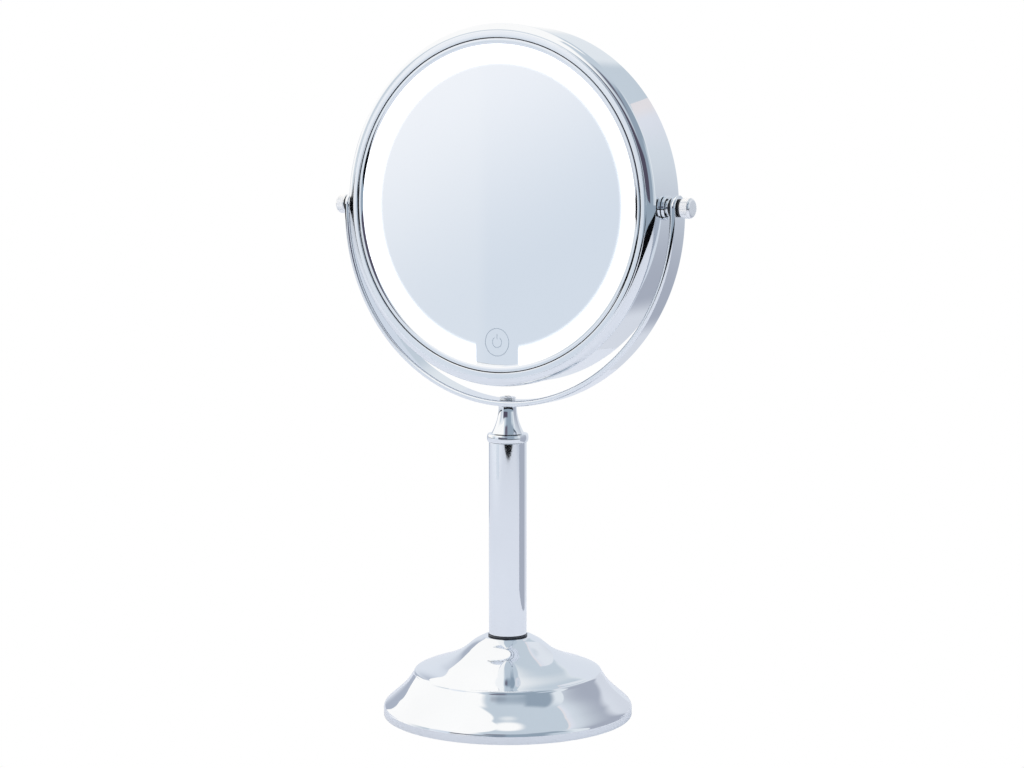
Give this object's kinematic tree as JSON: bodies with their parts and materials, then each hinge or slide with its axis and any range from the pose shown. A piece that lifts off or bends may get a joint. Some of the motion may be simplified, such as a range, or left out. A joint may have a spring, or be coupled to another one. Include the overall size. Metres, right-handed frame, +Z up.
{
  "type": "lighted vanity mirror",
  "caption": "Round lit makeup mirror that tilts in a chrome yoke on a column and weighted bell base, with a plain magnifying mirror on its back.",
  "frame": {"origin": "centre of the resting face under the base", "axes": "+Z up along the column, -Y out of the lit mirror at rest, X along the head's tilt axis"},
  "size_m": [0.2402, 0.1464, 0.4035],
  "materials": {
    "chrome": "bright polished plating, near mirror",
    "zinc_steel": "satin zinc plating",
    "mirror_glass": "silvered float glass",
    "lit_diffuser": "opal, evenly lit cool white",
    "led_board_white": "white solder mask",
    "cast_iron_weight": "rough, dark painted casting",
    "base_pad_rubber": "matt foam pad",
    "black_rubber": "matt",
    "black_nylon": "satin nylon",
    "white_plastic": "fine moulded texture",
    "copper_pad": "bare copper foil",
    "green_board": "green solder mask",
    "battery_wrap": "shrink film",
    "red_lead": "smooth insulation",
    "white_lead": "smooth insulation",
    "black_lead": "smooth insulation"
  },
  "bodies": {
    "stand": {"base_shell": "chrome", "base_weight": "cast_iron_weight", "base_plate": "zinc_steel", "base_pad": "base_pad_rubber", "base_screw_1": "zinc_steel", "base_screw_2": "zinc_steel", "base_screw_3": "zinc_steel", "spacer_tube": "zinc_steel", "rod_nut": "zinc_steel", "rod_washer": "zinc_steel", "tie_rod": "zinc_steel", "column_gasket": "black_rubber", "column_tube": "chrome", "column_collar": "chrome", "neck": "chrome", "yoke": "chrome", "yoke_screw": "chrome", "yoke_washer": "zinc_steel"},
    "head": {"drum_shell": "chrome", "front_bezel": "chrome", "front_mirror": "mirror_glass", "front_gasket": "black_rubber", "rear_mirror": "mirror_glass", "rear_gasket": "black_rubber", "rear_retainer": "white_plastic", "carrier_plate": "white_plastic", "light_diffuser": "lit_diffuser", "led_board": "led_board_white", "touch_pad": "copper_pad", "control_board": "green_board", "charge_board": "green_board", "board_screw_1": "zinc_steel", "board_screw_2": "zinc_steel", "battery_pack": "battery_wrap", "charge_port": "zinc_steel", "battery_lead": "red_lead", "charge_lead": "red_lead", "led_lead": "white_lead", "touch_lead": "black_lead", "left_boss": "chrome", "right_boss": "chrome", "left_friction_washer": "black_nylon", "right_friction_washer": "black_nylon", "left_stud_nut": "zinc_steel", "right_stud_nut": "zinc_steel", "left_stud": "zinc_steel", "right_stud": "zinc_steel"},
    "left_knob": {"left_knob": "chrome", "left_knob_washer": "black_nylon"},
    "right_knob": {"right_knob": "chrome", "right_knob_washer": "black_nylon"}
  },
  "joints": [
    {"name": "head_tilt", "type": "hinge", "parent": "stand", "child": "head", "pos_m": [0, 0, 0.3], "axis": [1, 0, 0], "continuous": true},
    {"name": "left_knob_turn", "type": "hinge", "parent": "head", "child": "left_knob", "pos_m": [-0.117, 0, 0.3], "axis": [-1, 0, 0], "range_deg": [0, 360]},
    {"name": "right_knob_turn", "type": "hinge", "parent": "head", "child": "right_knob", "pos_m": [0.117, 0, 0.3], "axis": [1, 0, 0], "range_deg": [0, 360]}
  ]
}
